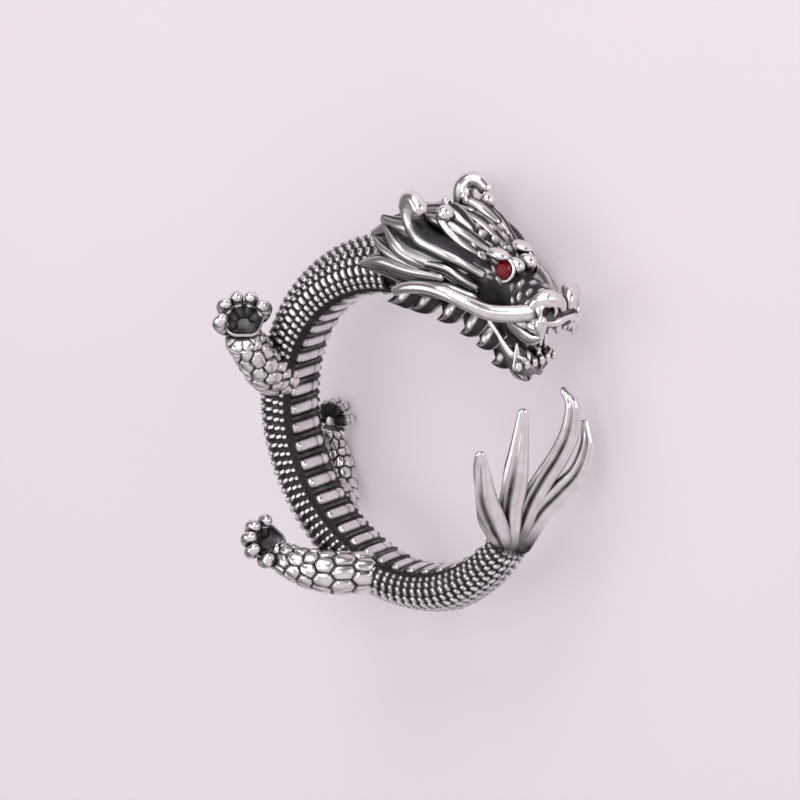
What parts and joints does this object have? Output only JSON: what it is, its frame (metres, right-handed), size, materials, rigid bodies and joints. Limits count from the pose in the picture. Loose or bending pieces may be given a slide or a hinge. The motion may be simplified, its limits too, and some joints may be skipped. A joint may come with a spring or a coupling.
{
  "type": "dragon ring",
  "caption": "Open finger ring cast as a scaled dragon, with a horned head and an open mouth facing its flame-shaped tail, clawed legs on both sides and faceted red eye stones.",
  "frame": {"origin": "centre of the finger hole, on the finger axis, in the middle plane of the band", "axes": "+Z along the finger axis, up from the surface that the ring lies on; +X towards the gap between head and tail; +Y towards the head"},
  "size_m": [0.0271, 0.0321, 0.0119],
  "materials": {
    "silver": "cast silver, oxidised dark in the recesses and polished bright on the raised parts",
    "red_stone": "clear deep red, facet cut and polished"
  },
  "bodies": {
    "root": {"dragon_band": "silver", "eye_stone_left": "red_stone", "eye_stone_right": "red_stone"}
  },
  "joints": []
}
